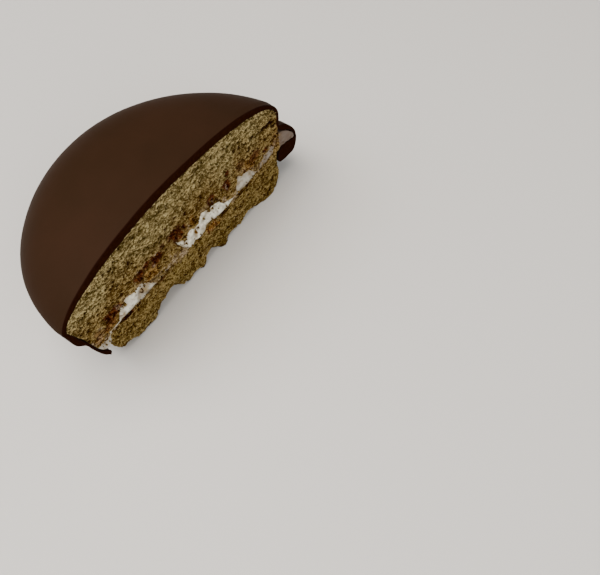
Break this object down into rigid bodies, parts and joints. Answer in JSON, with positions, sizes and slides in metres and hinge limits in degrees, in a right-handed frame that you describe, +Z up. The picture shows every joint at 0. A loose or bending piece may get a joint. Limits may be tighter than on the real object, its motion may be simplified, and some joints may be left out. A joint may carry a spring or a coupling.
{
  "type": "half chocolate marshmallow pie",
  "caption": "Half of a round chocolate-coated cake pie cut through the middle, showing a domed upper cake, a marshmallow layer and a flat lower cake.",
  "frame": {"origin": "middle of the bounding box, at the level of the flat underside of the lower cake", "axes": "+X along the cut towards the end where the marshmallow bulges out, +Y from the cut into the half, +Z up; the cut faces -Y"},
  "size_m": [0.1024, 0.0446, 0.0463],
  "materials": {
    "chocolate": "set dark chocolate, smooth and satin outside, nearly black where it was cut",
    "upper_crumb": "porous brown cake crumb, darker and moist above the marshmallow",
    "marshmallow": "off-white whipped marshmallow with small holes, smeared by the knife",
    "lower_crumb": "golden brown cake crumb, rough and bare below the coat"
  },
  "bodies": {
    "root": {"coat": "chocolate", "upper_cake": "upper_crumb", "marshmallow": "marshmallow", "lower_cake": "lower_crumb"}
  },
  "joints": []
}
